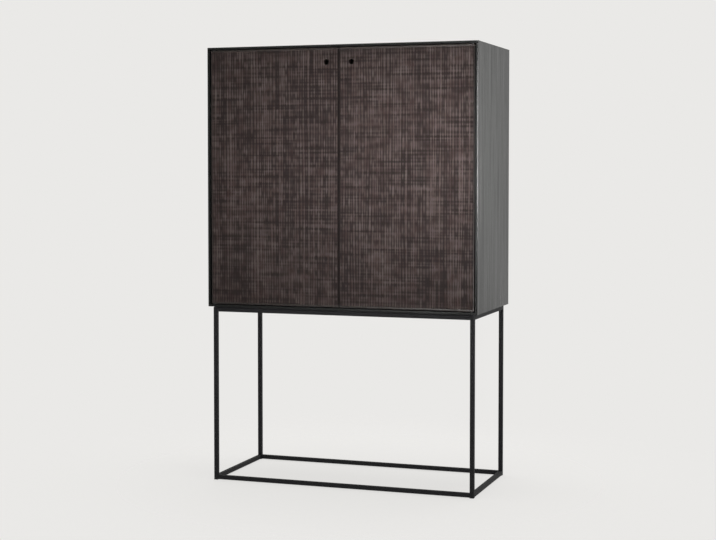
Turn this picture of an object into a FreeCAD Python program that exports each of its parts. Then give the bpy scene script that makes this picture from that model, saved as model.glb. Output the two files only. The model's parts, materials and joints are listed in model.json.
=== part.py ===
import FreeCAD
import Part
import math
import os
import re

import Sketcher
from FreeCAD import Placement, Rotation, Vector

# Bar cabinet with a fold-out shelf, on a slim stand of welded square tube.
# Millimetres, +Z up, front towards -Y, origin on the floor below the middle of the cabinet.
# It is drawn with both doors shut and the fold-out leaf stowed upright behind them.

SIZES = {
    # Whole cabinet
    "cabinet_width": 1000,
    "cabinet_depth": 450,
    "cabinet_height": 1560,
    "base_height": 627,
    # Stand: square tube, the glides below it and the flat spacer bars above it
    "base_inset": 14,
    "tube_size": 15,
    "tube_wall": 1.5,
    "tube_round": 2,
    "glide_height": 2,
    "glide_chamfer": 0.6,
    "plug_length": 12,
    "spacer_thickness": 4,
    "spacer_depth": 42,
    "spacer_setback": 2,
    "spacer_from_corner": 150,
    "spacer_screw_pitch": 40,
    "spacer_screw_edge": 12,
    # Carcass boards, mitred at the corners and rebated for the doors and the back
    "panel_thickness": 20,
    "lip_thickness": 8,
    "lip_chamfer": 2,
    "back_lip": 10,
    "back_thickness": 8,
    "back_recess": 2,
    "back_edge_gap": 0.5,
    "spline_width": 20,
    "spline_thickness": 4,
    "spline_offset": 7,
    "spline_setback": 25,
    "spline_clearance": 0.1,
    # Doors
    "door_thickness": 20,
    "door_recess": 5,
    "door_back_room": 8,
    "door_side_gap": 2,
    "door_end_gap": 2.2,
    "door_meeting_gap": 3,
    "door_front_round": 4,
    "door_back_round": 3,
    "finger_hole_diameter": 20,
    "finger_hole_from_edge": 45,
    "finger_hole_from_top": 50.8,
    # Pivots that carry the doors at their top and bottom edges
    "pivot_inset": 12,
    "pivot_setback": 8,
    "pivot_pin_radius": 3,
    "pivot_pin_length": 16,
    "bracket_thickness": 1.5,
    "bracket_arm_width": 14,
    "bracket_width": 48,
    "bracket_screw_pitch": 16,
    "bracket_screw_edge": 8,
    "washer_radius": 6.5,
    "washer_play": 0.1,
    "bush_radius": 5,
    "bush_length": 16,
    "bush_flange_radius": 6.5,
    "bush_flange_thickness": 1.5,
    # Magnetic catches under the top board, and their strike plates on the doors
    "catch_from_middle": 60,
    "catch_width": 46,
    "catch_block_width": 24,
    "catch_height": 16,
    "catch_depth": 18,
    "catch_ear_height": 5,
    "catch_screw_pitch": 35,
    "magnet_width": 18,
    "magnet_height": 10,
    "magnet_depth": 8,
    "magnet_proud": 1,
    "strike_width": 40,
    "strike_height": 12,
    "strike_thickness": 1.5,
    "strike_gap": 0.3,
    "strike_screw_pitch": 28,
    # Boards inside
    "shelf_thickness": 18,
    "rear_shelf_depth": 195,
    "housing_depth": 8,
    "housing_end_gap": 0.2,
    "divider_thickness": 18,
    "divider_setback": 6,
    "dowel_radius": 4,
    "dowel_length": 24,
    "dowel_in_board": 10,
    "upper_bay_height": 192,
    "upper_shelf_side_gap": 2,
    "upper_shelf_front_gap": 12,
    "upper_shelf_back_gap": 2,
    "shelf_pin_radius": 2.5,
    "shelf_pin_depth": 10,
    "shelf_pin_peg": 9,
    "shelf_pin_collar_radius": 4,
    "shelf_pin_collar_thickness": 1.5,
    "shelf_pin_setback": 60,
    "shelf_pin_pitch": 32,
    # Fold-out leaf, the cleats that carry it and the battens that stop it upright
    "leaf_side_gap": 2,
    "leaf_door_gap": 8,
    "leaf_headroom": 78,
    "leaf_rest_gap": 0.3,
    "leaf_joint_gap": 0.3,
    "notch_radius": 28,
    "notch_rise": 8,
    "batten_width": 24,
    "cleat_height": 20,
    "cleat_front_gap": 12,
    "cleat_rear_gap": 20,
    "stop_depth": 20,
    "stop_above_counter": 20,
    "stop_below_leaf_top": 12,
    "stop_magnet_radius": 5,
    "stop_magnet_length": 10,
    "stop_magnet_from_top": 25,
    "stop_disc_radius": 6.5,
    "stop_disc_thickness": 2,
    # Butt hinges of the leaf
    "hinge_spacing": 360,
    "hinge_length": 60,
    "hinge_knuckle_radius": 3.25,
    "hinge_knuckle_length": 23.6,
    "hinge_knuckle_gap": 0.2,
    "hinge_pin_radius": 1.5,
    "flap_thickness": 1.5,
    "flap_width": 14,
    "flap_screw_from_axis": 8.6,
    "flap_screw_pitch": 21,
    "flap_relief": 0.25,
    "board_relief": 0.6,
    # Countersunk screws: for thin metal, for the back, for the battens and for the spacer bars
    "small_screw_head_radius": 2.8,
    "small_screw_shank_radius": 1.5,
    "small_screw_head_height": 1.3,
    "small_screw_length": 12,
    "back_screw_head_radius": 3.2,
    "back_screw_shank_radius": 1.75,
    "back_screw_head_height": 2,
    "back_screw_length": 20,
    "batten_screw_head_radius": 3.8,
    "batten_screw_shank_radius": 2,
    "batten_screw_head_height": 2.4,
    "batten_screw_length": 36,
    "plate_screw_head_radius": 4.2,
    "plate_screw_shank_radius": 2.25,
    "plate_screw_head_height": 2.6,
    "plate_screw_length": 16,
    # Fits, and how far a cutting shape runs past the face that it cuts
    "seat_clearance": 0.05,
    "running_clearance": 0.05,
    "overrun": 5,
}

# Planes and lines that several pieces share, worked out from the sizes above.
DERIVED = {
    "half_width": "cabinet_width / 2",
    "half_depth": "cabinet_depth / 2",
    "frame_half_width": "cabinet_width / 2 - base_inset",
    "frame_half_depth": "cabinet_depth / 2 - base_inset",
    "carcass_bottom": "base_height + spacer_thickness",
    "carcass_middle": "(base_height + spacer_thickness + cabinet_height) / 2",
    "inner_half_width": "cabinet_width / 2 - panel_thickness",
    "inner_bottom": "base_height + spacer_thickness + panel_thickness",
    "inner_top": "cabinet_height - panel_thickness",
    "cheek_bottom": "base_height + spacer_thickness + lip_thickness",
    "cheek_top": "cabinet_height - lip_thickness",
    "cheek_half_width": "cabinet_width / 2 - lip_thickness",
    "door_front": "door_recess - cabinet_depth / 2",
    "door_back": "door_recess + door_thickness - cabinet_depth / 2",
    "shoulder": "door_recess + door_thickness + door_back_room - cabinet_depth / 2",
    "door_bottom": "base_height + spacer_thickness + lip_thickness + door_end_gap",
    "door_top": "cabinet_height - lip_thickness - door_end_gap",
    "door_hinge_edge": "cabinet_width / 2 - lip_thickness - door_side_gap",
    "door_free_edge": "door_meeting_gap / 2",
    "back_outside": "cabinet_depth / 2 - back_recess",
    "back_inside": "cabinet_depth / 2 - back_recess - back_thickness",
    "pivot_x": "cabinet_width / 2 - lip_thickness - door_side_gap - pivot_inset",
    "pivot_y": "door_recess + pivot_setback - cabinet_depth / 2",
    "strike_back": "door_recess + door_thickness + strike_thickness - cabinet_depth / 2",
    "catch_front": "door_recess + door_thickness + strike_thickness + strike_gap - cabinet_depth / 2",
    "catch_middle": "cabinet_height - panel_thickness - catch_height / 2",
    "leaf_axis": "cabinet_depth / 2 - back_recess - back_thickness - rear_shelf_depth",
    "leaf_front": "door_recess + door_thickness + leaf_door_gap - cabinet_depth / 2",
    "leaf_thickness": "shelf_thickness - leaf_rest_gap",
    "upper_shelf_height": "cabinet_height - panel_thickness - upper_bay_height",
    "upper_shelf_underside": "upper_shelf_height - shelf_thickness",
    "leaf_top": "upper_shelf_underside - leaf_headroom",
    "counter_height": "leaf_top - (leaf_axis - leaf_front)",
    "shelf_underside": "counter_height - shelf_thickness",
    "stop_front": "leaf_axis + leaf_rest_gap",
    "stop_bottom": "counter_height + stop_above_counter",
    "stop_top": "leaf_top - stop_below_leaf_top",
    "batten_face": "cabinet_width / 2 - panel_thickness - batten_width",
    "batten_middle": "cabinet_width / 2 - panel_thickness - batten_width / 2",
    "upper_shelf_front": "door_back + upper_shelf_front_gap",
    "upper_shelf_back": "back_inside - upper_shelf_back_gap",
}

LOWER_BACK_SCREW_SHARES = (0.1, 0.8)
UPPER_BACK_SCREW_SHARES = (0.4, 0.93)
BACK_SCREW_WIDTH_SHARES = (-0.38, 0, 0.38)
CLEAT_SCREW_SHARES = (0.12, 0.5, 0.88)
STOP_SCREW_SHARES = (0.15, 0.6)
TOP_DOWEL_SHARES = (0.2, 0.5, 0.8)
BOTTOM_DOWEL_SHARES = (0.1, 0.5, 0.9)
SHELF_PIN_STEPS = range(-3, 4)

X_AXIS = Vector(1, 0, 0)
Y_AXIS = Vector(0, 1, 0)
Z_AXIS = Vector(0, 0, 1)

doc = FreeCAD.newDocument("BarCabinet")


def fill_sheet(name, cells):
    """Write one named cell per row of a new sheet."""
    sheet = doc.addObject("Spreadsheet::Sheet", name)
    for row, (alias, content) in enumerate(cells.items(), start=1):
        sheet.set(f"A{row}", alias)
        sheet.set(f"B{row}", content)
        sheet.setAlias(f"B{row}", alias)


def formula(text):
    """Point the plain names in a formula at the cells that hold them."""
    def cell(match):
        word = match.group(0)
        if word in SIZES:
            return "Sizes." + word
        if word in DERIVED:
            return "Derived." + word
        return word
    return re.sub(r"(?<![\w.])[a-z]\w*", cell, text)


fill_sheet("Sizes", {alias: str(value) for alias, value in SIZES.items()})
fill_sheet("Derived", {alias: "=" + formula(text) for alias, text in DERIVED.items()})
doc.recompute()

pieces = []


def bind(thing, **formulas):
    """Bind properties to formulas; a double underscore in a name stands for a dot."""
    for name, text in formulas.items():
        thing.setExpression(name.replace("__", "."), formula(text))


def piece(thing):
    """Mark an object as one of the cabinet's pieces, which its label names."""
    thing.Label = thing.Name
    pieces.append(thing)
    return thing


def box(name, x, y, z):
    """A block between low and high planes along each axis."""
    block = doc.addObject("Part::Box", name)
    for size, axis, (low, high) in zip(("Length", "Width", "Height"), "xyz", (x, y, z)):
        bind(block, **{size: f"({high}) - ({low})", f"Placement__Base__{axis}": low})
    return block


def place(thing, x, y, z, direction):
    """Turn an object's own Z axis to a direction and move its origin to a point."""
    thing.Placement = Placement(Vector(), Rotation(Z_AXIS, direction))
    bind(thing, Placement__Base__x=x, Placement__Base__y=y, Placement__Base__z=z)
    return thing


def rod(name, radius, length, start, direction):
    """A round bar from a start point along a direction."""
    bar = doc.addObject("Part::Cylinder", name)
    bind(bar, Radius=radius, Height=length)
    return place(bar, *start, direction)


def copy(name, source, start, direction=Z_AXIS):
    """A linked copy of an object that was drawn at the origin."""
    link = doc.addObject("App::Link", name)
    link.LinkedObject = source
    return place(link, *start, direction)


def group(name, *members):
    """Several separate solids kept under one name."""
    compound = doc.addObject("Part::Compound", name)
    compound.Links = members
    return compound


def fuse(name, *members):
    joined = doc.addObject("Part::MultiFuse", name)
    joined.Shapes = members
    return joined


def cut(name, base, *tools):
    """Take one or more cutting shapes away from a base."""
    result = doc.addObject("Part::Cut", name)
    result.Base = base
    result.Tool = tools[0] if len(tools) == 1 else fuse(name + "_cutters", *tools)
    return result


def mirror(name, source, axis, height="0"):
    """The mirror image across the plane x = 0 or y = 0, or across a level plane at a height."""
    image = doc.addObject("Part::Mirroring", name)
    # A linked copy goes in a group first, because only the group's shape holds the copy's place.
    image.Source = group(name + "_source", source) if source.TypeId == "App::Link" else source
    image.Normal = axis
    bind(image, Base__z=height)
    return image


def four_corners(name, front_left):
    """A front left piece with its images in the other three corners of the plan."""
    front_right = mirror(name + "_front_right", front_left, X_AXIS)
    back_left = mirror(name + "_back_left", front_left, Y_AXIS)
    back_right = mirror(name + "_back_right", front_right, Y_AXIS)
    return group(name, front_left, front_right, back_left, back_right)


def outline(body, name, role, offset, *loops):
    """A fully constrained sketch of straight-sided loops on one of the body's own planes."""
    sketch = body.newObject("Sketcher::SketchObject", name)
    plane = next(item for item in body.Origin.OriginFeatures if item.Role == role)
    sketch.AttachmentSupport = [(plane, "")]
    sketch.MapMode = "FlatFace"
    bind(sketch, AttachmentOffset__Base__z=offset)
    for corners in loops:
        first = sketch.GeometryCount
        count = len(corners)
        turns = [math.tau * index / count for index in range(count)]
        start = [Vector(math.cos(turn), math.sin(turn)) for turn in turns]
        for index in range(count):
            sketch.addGeometry(Part.LineSegment(start[index], start[(index + 1) % count]))
        for index in range(count):
            following = first + (index + 1) % count
            sketch.addConstraint(Sketcher.Constraint("Coincident", first + index, 2, following, 1))
        for index, (across, up) in enumerate(corners):
            for kind, text, value in (("X", across, start[index].x), ("Y", up, start[index].y)):
                rule = Sketcher.Constraint("Distance" + kind, -1, 1, first + index, 1, value)
                number = sketch.addConstraint(rule)
                bind(sketch, **{f"Constraints[{number}]": text})
    return sketch


def rectangle(x, y):
    return [(x[0], y[0]), (x[1], y[0]), (x[1], y[1]), (x[0], y[1])]


def pad(body, name, sketch, length):
    feature = body.newObject("PartDesign::Pad", name)
    feature.Profile = sketch
    bind(feature, Length=length)
    doc.recompute()
    return feature


def turned(name, *corners):
    """A round piece turned about Z from a half profile of radius and height."""
    body = doc.addObject("PartDesign::Body", name)
    sketch = outline(body, name + "_profile", "XZ_Plane", "0", corners)
    feature = body.newObject("PartDesign::Revolution", name + "_turning")
    feature.Profile = sketch
    feature.ReferenceAxis = (sketch, ["V_Axis"])
    feature.Angle = 360
    return body


def round_edges(body, name, base, chosen, radius):
    """Round the edges of a feature for which the test holds."""
    fillet = body.newObject("PartDesign::Fillet", name)
    edges = enumerate(base.Shape.Edges, start=1)
    fillet.Base = (base, [f"Edge{number}" for number, edge in edges if chosen(edge)])
    bind(fillet, Radius=radius)
    doc.recompute()


def runs_along(edge, direction):
    """Whether an edge is straight and parallel to a direction."""
    first, last = edge.firstVertex().Point, edge.lastVertex().Point
    span = last - first
    return span.Length > 0 and abs(span.normalize().dot(direction)) > math.cos(math.radians(1))


def tube(name, role, across, up, low, high):
    """A length of square tube, from the low corner of its section and its two ends."""
    body = doc.addObject("PartDesign::Body", name)
    outer = rectangle((across, f"{across} + tube_size"), (up, f"{up} + tube_size"))
    bore = rectangle((f"{across} + tube_wall", f"{across} + tube_size - tube_wall"),
                     (f"{up} + tube_wall", f"{up} + tube_size - tube_wall"))
    # A sketch on the XZ plane faces -Y, so its extrusion starts from the high end.
    offset = f"-({high})" if role == "XZ_Plane" else low
    sketch = outline(body, name + "_section", role, offset, outer, bore)
    bar = pad(body, name + "_length", sketch, f"({high}) - ({low})")
    along = {"XY_Plane": Z_AXIS, "YZ_Plane": X_AXIS, "XZ_Plane": Y_AXIS}[role]
    axis = bar.Shape.CenterOfMass
    corner_reach = max(edge.CenterOfMass.distanceToLine(axis, along) for edge in bar.Shape.Edges)
    bore_reach = min(edge.CenterOfMass.distanceToLine(axis, along)
                     for edge in bar.Shape.Edges if runs_along(edge, along))
    limit = (corner_reach + bore_reach) / 2

    def is_outer_corner(edge):
        return runs_along(edge, along) and edge.CenterOfMass.distanceToLine(axis, along) > limit

    round_edges(body, name + "_corners", bar, is_outer_corner, "tube_round")
    return body


def screw(kind):
    """A countersunk screw that points up from the face it is flush with, and its hole."""
    head, shank = f"{kind}_screw_head_radius", f"{kind}_screw_shank_radius"
    neck, length = f"{kind}_screw_head_height", f"{kind}_screw_length"
    solid = turned(f"{kind}_screw", ("0", "0"), (head, "0"), (shank, neck),
                   (shank, f"{length} - {shank}"), ("0", length))
    wide, narrow = f"{head} + seat_clearance", f"{shank} + seat_clearance"
    hole = turned(f"{kind}_screw_hole", ("0", "-overrun"), (wide, "-overrun"), (wide, "0"),
                  (narrow, neck), (narrow, f"{length} - {shank}"), ("0", f"{length} + seat_clearance"))
    return solid, hole


def fasten(name, kind, places, direction):
    """Put a screw at each place, and give the screws and the holes for them."""
    solid, hole = kind
    screws = [copy(f"{name}_{number}", solid, spot, direction) for number, spot in enumerate(places)]
    holes = [copy(f"{name}_hole_{number}", hole, spot, direction) for number, spot in enumerate(places)]
    return group(name, *screws), group(name + "_holes", *holes)


small_screw = screw("small")
back_screw = screw("back")
batten_screw = screw("batten")
plate_screw = screw("plate")

# Stand: four full-height legs with rails butted between them, welded into two rings.
front_left_leg = piece(tube("base_leg_front_left", "XY_Plane", "-frame_half_width", "-frame_half_depth",
                            "glide_height", "base_height"))
front_right_leg = piece(mirror("base_leg_front_right", front_left_leg, X_AXIS))
piece(mirror("base_leg_back_left", front_left_leg, Y_AXIS))
piece(mirror("base_leg_back_right", front_right_leg, Y_AXIS))

for level, underside in (("top", "base_height - tube_size"), ("bottom", "glide_height")):
    front_rail = piece(tube(f"base_{level}_rail_front", "YZ_Plane", "-frame_half_depth", underside,
                            "tube_size - frame_half_width", "frame_half_width - tube_size"))
    piece(mirror(f"base_{level}_rail_back", front_rail, Y_AXIS))
    left_rail = piece(tube(f"base_{level}_rail_left", "XZ_Plane", "-frame_half_width", underside,
                           "tube_size - frame_half_depth", "frame_half_depth - tube_size"))
    piece(mirror(f"base_{level}_rail_right", left_rail, X_AXIS))

# Plugs that close the legs' upper ends, and glides pressed into their lower ends.
LEG_X = ("-frame_half_width", "tube_size - frame_half_width")
LEG_Y = ("-frame_half_depth", "tube_size - frame_half_depth")
BORE_X = ("tube_wall + seat_clearance - frame_half_width",
          "tube_size - tube_wall - seat_clearance - frame_half_width")
BORE_Y = ("tube_wall + seat_clearance - frame_half_depth",
          "tube_size - tube_wall - seat_clearance - frame_half_depth")
top_plug = box("leg_top_plug", BORE_X, BORE_Y, ("base_height - plug_length", "base_height"))
piece(four_corners("leg_top_plugs", top_plug))

glide = doc.addObject("PartDesign::Body", "floor_glide")
foot_sketch = outline(glide, "floor_glide_foot_outline", "XY_Plane", "0", rectangle(LEG_X, LEG_Y))
foot = pad(glide, "floor_glide_foot", foot_sketch, "glide_height")
foot_edges = enumerate(foot.Shape.Edges, start=1)
floor_level = foot.Shape.BoundBox.ZMin
chamfer = glide.newObject("PartDesign::Chamfer", "floor_glide_chamfer")
chamfer.Base = (foot, [f"Edge{number}" for number, edge in foot_edges
                       if edge.BoundBox.ZMax - floor_level < foot.Shape.BoundBox.ZLength / 2])
bind(chamfer, Size="glide_chamfer")
plug_outline = rectangle(BORE_X, BORE_Y)
plug_sketch = outline(glide, "floor_glide_plug_outline", "XY_Plane", "glide_height", plug_outline)
pad(glide, "floor_glide_plug", plug_sketch, "plug_length")
piece(four_corners("floor_glides", glide))

# Flat bars welded along the tops of the stand's upper rails, which keep the carcass just clear of them;
# screws up through the two long bars hold the carcass.
spacer_x = "spacer_from_corner - frame_half_width"
spacer_end = "spacer_setback - frame_half_width"
spacer_front = "spacer_setback - frame_half_depth"
spacer_back = "spacer_setback + spacer_depth - frame_half_depth"
spacer_screw_y = f"{spacer_back} - spacer_screw_edge"
spacer_spots = [(f"{spacer_x} {sign} spacer_screw_pitch / 2", spacer_screw_y, "base_height") for sign in "-+"]
corner_screws, corner_holes = fasten("spacer_corner_screws", plate_screw, spacer_spots, Z_AXIS)
piece(four_corners("spacer_screws", corner_screws))
spacer_holes = four_corners("spacer_holes", corner_holes)
spacer_levels = ("base_height", "carcass_bottom")
long_blank = box("spacer_long_blank", (spacer_end, f"-({spacer_end})"), (spacer_front, spacer_back),
                 spacer_levels)
front_bar = cut("spacer_front_bar", long_blank, spacer_holes)
left_bar = box("spacer_left_bar", (spacer_end, f"{spacer_end} + tube_size - 2 * spacer_setback"),
               (spacer_back, f"-({spacer_back})"), spacer_levels)
piece(group("spacer_plates", front_bar, mirror("spacer_back_bar", front_bar, Y_AXIS),
            left_bar, mirror("spacer_right_bar", left_bar, X_AXIS)))

# Shapes that are cut out of the carcass boards: the bevel round the front edge, and the rebates
# for the doors and for the back.
bevel_core = doc.addObject("Part::Wedge", "bevel_core")
bind(bevel_core, Ymin="-half_depth", Ymax="lip_chamfer - half_depth",
     Xmin="lip_chamfer - half_width", Xmax="half_width - lip_chamfer",
     X2min="-half_width", X2max="half_width",
     Zmin="carcass_bottom + lip_chamfer", Zmax="cabinet_height - lip_chamfer",
     Z2min="carcass_bottom", Z2max="cabinet_height")
bevel_block = box("bevel_block", ("-half_width - overrun", "half_width + overrun"),
                  ("-half_depth - overrun", "lip_chamfer - half_depth"),
                  ("carcass_bottom - overrun", "cabinet_height + overrun"))
front_bevel = cut("front_bevel", bevel_block, bevel_core)
door_rebate = box("door_rebate", ("-cheek_half_width", "cheek_half_width"),
                  ("-half_depth - overrun", "shoulder"), ("cheek_bottom", "cheek_top"))
back_rebate = box("back_rebate", ("back_lip - half_width", "half_width - back_lip"),
                  ("back_inside", "half_depth + overrun"),
                  ("carcass_bottom + back_lip", "cabinet_height - back_lip"))


def spline_bar(name, play):
    """A strip set square across the upper right mitre, thicker and wider by the play."""
    bar = doc.addObject("Part::Box", name)
    bar.Placement = Placement(Vector(), Rotation(Y_AXIS, 45))
    width, thickness = f"(spline_width + 2 * {play})", f"(spline_thickness + 2 * {play})"
    start, end = f"(shoulder + spline_setback - {play})", f"(back_inside - spline_setback + {play})"
    bind(bar, Length=width, Height=thickness, Width=f"{end} - {start}", Placement__Base__y=start,
         Placement__Base__x=f"inner_half_width + spline_offset - ({width} + {thickness}) / sqrt(8)",
         Placement__Base__z=f"inner_top + spline_offset + ({width} - {thickness}) / sqrt(8)")
    return bar


def in_four_mitres(name, top_right):
    """A strip in the upper right mitre with its images in the other three."""
    top_left = mirror(name + "_top_left", top_right, X_AXIS)
    top = group(name + "_top", top_left, top_right)
    return group(name, top, mirror(name + "_bottom", top, Z_AXIS, "carcass_middle"))


piece(in_four_mitres("mitre_splines", spline_bar("mitre_spline", "0")))
spline_slots = in_four_mitres("spline_slots", spline_bar("spline_slot", "spline_clearance"))

# Back: a thin board screwed into its rebate from behind.
side_screw_x = "inner_half_width + (panel_thickness - back_lip) / 2"
end_screw_rise = "(panel_thickness - back_lip) / 2"
side_screw_levels = [f"inner_bottom + {share} * (shelf_underside - inner_bottom)"
                     for share in LOWER_BACK_SCREW_SHARES]
side_screw_levels += [f"counter_height + {share} * (inner_top - counter_height)"
                      for share in UPPER_BACK_SCREW_SHARES]
back_spots = [(f"{sign}({side_screw_x})", "back_outside", level)
              for sign in ("-", "") for level in side_screw_levels]
back_spots += [(f"{share} * cabinet_width", "back_outside", level) for share in BACK_SCREW_WIDTH_SHARES
               for level in (f"inner_bottom - {end_screw_rise}", f"inner_top + {end_screw_rise}")]
back_screws, back_holes = fasten("back_panel_screws", back_screw, back_spots, -Y_AXIS)
piece(back_screws)
back_half_width = "(half_width - back_lip - back_edge_gap)"
back_board = box("back_board", (f"-{back_half_width}", back_half_width), ("back_inside", "back_outside"),
                 ("carcass_bottom + back_lip + back_edge_gap", "cabinet_height - back_lip - back_edge_gap"))
piece(cut("back_panel", back_board, back_holes))

# Door pivots: an angle bracket on the rebate's shoulder carries a pin, and a washer bears the door.
arm_x = ("-pivot_x - bracket_arm_width / 2", "bracket_arm_width / 2 - pivot_x")
arm_level = ("cheek_bottom", "cheek_bottom + bracket_thickness")
bracket_arm = box("bracket_arm", arm_x, ("pivot_y", "shoulder"), arm_level)
bracket_nose = rod("bracket_nose", "bracket_arm_width / 2", "bracket_thickness",
                   ("-pivot_x", "pivot_y", "cheek_bottom"), Z_AXIS)
bracket_flange = box("bracket_flange", (arm_x[0], f"{arm_x[0]} + bracket_width"),
                     ("shoulder - bracket_thickness", "shoulder"), ("cheek_bottom", "inner_bottom"))
bracket_spots = [(f"{arm_x[0]} + bracket_width - bracket_screw_edge - {step} * bracket_screw_pitch",
                  "shoulder - bracket_thickness", "(cheek_bottom + inner_bottom + bracket_thickness) / 2")
                 for step in range(2)]
bracket_screws, bracket_holes = fasten("bracket_screws", small_screw, bracket_spots, Y_AXIS)
pin_hole = rod("pivot_pin_hole", "pivot_pin_radius + seat_clearance", "2 * overrun",
               ("-pivot_x", "pivot_y", "cheek_bottom - overrun"), Z_AXIS)
bracket = cut("pivot_bracket", fuse("bracket_blank", bracket_arm, bracket_nose, bracket_flange),
              bracket_holes, pin_hole)
pivot_pin = rod("pivot_pin", "pivot_pin_radius", "pivot_pin_length",
                ("-pivot_x", "pivot_y", "cheek_bottom"), Z_AXIS)
washer_height = "door_end_gap - bracket_thickness - washer_play"
running_bore = "pivot_pin_radius + running_clearance"
washer_profile = turned("washer_ring", (running_bore, "0"), ("washer_radius", "0"),
                        ("washer_radius", washer_height), (running_bore, washer_height))
washer = copy("pivot_washer", washer_profile, ("-pivot_x", "pivot_y", arm_level[1]))


def top_and_bottom(name, bottom):
    """A piece at the foot of a door with its image at the head."""
    return group(name, bottom, mirror(name + "_top", bottom, Z_AXIS, "carcass_middle"))


def four_pivots(name, bottom_left):
    """A lower left pivot piece with its images at the door's head and on the other door."""
    left = top_and_bottom(name + "_left", bottom_left)
    return group(name, left, mirror(name + "_right", left, X_AXIS))


piece(four_pivots("pivot_brackets", bracket))
piece(four_pivots("pivot_pins", pivot_pin))
piece(four_pivots("pivot_washers", washer))
piece(four_pivots("pivot_bracket_screws", bracket_screws))
pivot_holes = four_pivots("pivot_bracket_holes", bracket_holes)

# Magnetic catches: an eared housing screwed up under the top board, with a magnet in its mouth.
catch_middle_x = "-catch_from_middle"
magnet_x = (f"{catch_middle_x} - magnet_width / 2", f"{catch_middle_x} + magnet_width / 2")
magnet_z = ("catch_middle - magnet_height / 2", "catch_middle + magnet_height / 2")
magnet = box("catch_magnet", magnet_x, ("catch_front", "catch_front + magnet_depth"), magnet_z)
housing_y = ("catch_front + magnet_proud", "catch_front + magnet_proud + catch_depth")
housing_block = box("catch_block", (f"{catch_middle_x} - catch_block_width / 2",
                                    f"{catch_middle_x} + catch_block_width / 2"),
                    housing_y, ("inner_top - catch_height", "inner_top"))
housing_ears = box("catch_ears", (f"{catch_middle_x} - catch_width / 2",
                                  f"{catch_middle_x} + catch_width / 2"),
                   housing_y, ("inner_top - catch_ear_height", "inner_top"))
catch_spots = [(f"{catch_middle_x} {sign} catch_screw_pitch / 2", f"{housing_y[0]} + catch_depth / 2",
                "inner_top - catch_ear_height") for sign in "-+"]
left_catch_screws, left_catch_holes = fasten("left_catch_screws", small_screw, catch_spots, Z_AXIS)
housing = cut("catch_housing", fuse("catch_blank", housing_block, housing_ears), magnet, left_catch_holes)


def left_and_right(name, left):
    return group(name, left, mirror(name + "_right", left, X_AXIS))


piece(left_and_right("catch_housings", housing))
piece(left_and_right("catch_magnets", magnet))
piece(left_and_right("catch_screws", left_catch_screws))
catch_holes = left_and_right("catch_holes", left_catch_holes)

# Doors: solid boards that turn on the pivots, rounded where they turn past the rebate.
strike_x = (f"{catch_middle_x} - strike_width / 2", f"{catch_middle_x} + strike_width / 2")
strike_blank = box("left_strike_blank", strike_x, ("door_back", "strike_back"),
                   ("catch_middle - strike_height / 2", "catch_middle + strike_height / 2"))
strike_spots = [(f"{catch_middle_x} {sign} strike_screw_pitch / 2", "strike_back", "catch_middle")
                for sign in "-+"]
strike_screws, strike_holes = fasten("left_door_strike_screws", small_screw, strike_spots, -Y_AXIS)
strike = piece(cut("left_door_strike_plate", strike_blank, strike_holes))
piece(mirror("right_door_strike_plate", strike, X_AXIS))
piece(strike_screws)
piece(mirror("right_door_strike_screws", strike_screws, X_AXIS))

bush_profile = turned("bush_profile_piece", (running_bore, "0"), ("bush_flange_radius", "0"),
                      ("bush_flange_radius", "bush_flange_thickness"),
                      ("bush_radius", "bush_flange_thickness"),
                      ("bush_radius", "bush_length"), (running_bore, "bush_length"))
bush = copy("left_door_bush", bush_profile, ("-pivot_x", "pivot_y", "door_bottom"))
bushes = piece(top_and_bottom("left_door_pivot_bushes", bush))
piece(mirror("right_door_pivot_bushes", bushes, X_AXIS))
seat_flange, seat_barrel = "bush_flange_radius + seat_clearance", "bush_radius + seat_clearance"
seat_profile = turned("bush_seat_profile", ("0", "-overrun"), (seat_flange, "-overrun"),
                      (seat_flange, "bush_flange_thickness"), (seat_barrel, "bush_flange_thickness"),
                      (seat_barrel, "bush_length"), ("0", "bush_length"))
seat = copy("bush_seat", seat_profile, ("-pivot_x", "pivot_y", "door_bottom"))
bush_seats = top_and_bottom("bush_seats", seat)

slab = doc.addObject("PartDesign::Body", "left_door_slab")
door_plan = rectangle(("-door_hinge_edge", "-door_free_edge"), ("door_front", "door_back"))
slab_sketch = outline(slab, "left_door_plan", "XY_Plane", "door_bottom", door_plan)
slab_board = pad(slab, "left_door_board", slab_sketch, "door_top - door_bottom")
plan_box = slab_board.Shape.BoundBox


def is_hinge_edge(front):
    """A test for the upright edge on the hinge side, at the front or at the back of the door."""
    def test(edge):
        middle = edge.CenterOfMass
        at_hinge = middle.x < plan_box.Center.x
        return runs_along(edge, Z_AXIS) and at_hinge and (middle.y < plan_box.Center.y) == front
    return test


round_edges(slab, "left_door_front_round", slab_board, is_hinge_edge(True), "door_front_round")
round_edges(slab, "left_door_back_round", slab.Tip, is_hinge_edge(False), "door_back_round")
finger_hole = rod("finger_hole", "finger_hole_diameter / 2", "door_thickness + 2 * overrun",
                  ("-door_free_edge - finger_hole_from_edge", "door_front - overrun",
                   "door_top - finger_hole_from_top"), Y_AXIS)
left_door = piece(cut("left_door", slab, finger_hole, bush_seats, strike_holes))
piece(mirror("right_door", left_door, X_AXIS))

# Butt hinges of the leaf: flaps let into the facing edges, knuckles on the line of the counter's top.
HINGE_STEPS = (-1, 0, 1)


def hinge_rod(name, radius, low, high):
    """A round bar on the leaf's axis, between two distances from the hinge's middle."""
    return rod(name, radius, f"({high}) - ({low})", (low, "0", "0"), X_AXIS)


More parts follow.
